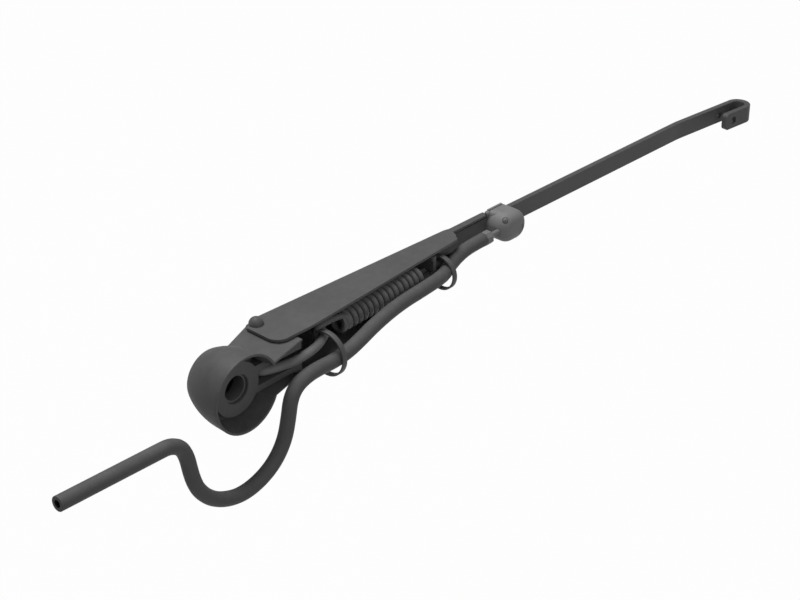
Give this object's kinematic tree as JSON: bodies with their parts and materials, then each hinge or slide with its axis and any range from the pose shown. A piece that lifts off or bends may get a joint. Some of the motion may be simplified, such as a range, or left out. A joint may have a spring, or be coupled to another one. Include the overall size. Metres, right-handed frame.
{
  "type": "wiper arm",
  "caption": "Windscreen wiper arm with a cupped spindle head, spring-loaded channel arm, hook-ended strip and a washer hose clipped along it to a spray nozzle.",
  "frame": {"origin": "centre of the hub's glass-side face, on the spindle bore's axis", "axes": "+X along the arm from the head to the hook, +Y away from the glass, +Z along the pivot rivet, which is up in the picture"},
  "size_m": [0.483, 0.0373, 0.0634],
  "materials": {
    "head_coat": "satin dark grey coat over a die casting",
    "arm_coat": "satin dark grey coat over pressed sheet",
    "strip_coat": "satin dark grey coat over flat bar",
    "rod_coat": "dark grey coat over bent rod",
    "spring_coat": "dark grey coat over spring wire",
    "sleeve_steel": "turned steel, dulled",
    "pin_steel": "drawn steel",
    "rivet_coat": "satin dark grey coat over a formed head",
    "bush_polymer": "dark bearing polymer",
    "cap_plastic": "fine-grained dark grey moulding",
    "clip_plastic": "grey moulded band",
    "hose_rubber": "matt grey rubber",
    "ferrule_metal": "dull light grey metal",
    "inlet_plastic": "grey moulding",
    "pod_plastic": "satin light grey moulding",
    "jet_metal": "small turned ball"
  },
  "bodies": {
    "head": {"arm_head": "head_coat", "spindle_sleeve": "sleeve_steel", "link_pin": "pin_steel", "pivot_bush_upper": "bush_polymer", "pivot_bush_lower": "bush_polymer"},
    "arm": {"arm_channel": "arm_coat", "pivot_tube": "pin_steel", "pivot_rivet": "rivet_coat", "hook_strip": "strip_coat", "hose_clip_inner": "clip_plastic", "hose_clip_outer": "clip_plastic", "washer_hose": "hose_rubber", "hose_ferrule": "ferrule_metal", "nozzle_inlet": "inlet_plastic", "nozzle_body": "pod_plastic", "nozzle_clip": "pod_plastic"},
    "link": {"spring_link": "rod_coat"},
    "spring": {"tension_spring": "spring_coat"},
    "jet": {"jet_ball": "jet_metal"},
    "cap": {"nut_cap": "cap_plastic"}
  },
  "joints": [
    {"name": "arm_lift", "type": "hinge", "parent": "head", "child": "arm", "pos_m": [0.0306, 0.0201, 0], "axis": [0, 0, 1], "range_deg": [0, 55]},
    {"name": "link_swing", "type": "hinge", "parent": "head", "child": "link", "pos_m": [0.0195, 0.0062, 0], "axis": [0, 0, 1], "range_deg": [0, 49]},
    {"name": "spring_stretch", "type": "slide", "parent": "link", "child": "spring", "axis": [0.9985, 0.0549, 0], "range_m": [0, 0.007], "deforming": ["tension_spring"]},
    {"name": "jet_tilt", "type": "hinge", "parent": "arm", "child": "jet", "pos_m": [0.18343, 0.011, 0.00495], "axis": [0, 0, 1], "range_deg": [-12, 12]},
    {"name": "cap_pull", "type": "slide", "parent": "head", "child": "cap", "axis": [0, 1, 0], "range_m": [0, 0.014]}
  ],
  "couplings": [
    {"joint": "link_swing", "follows": "arm_lift", "ratio": 0.8678},
    {"joint": "spring_stretch", "follows": "arm_lift", "m_per_rad": 0.00708}
  ]
}
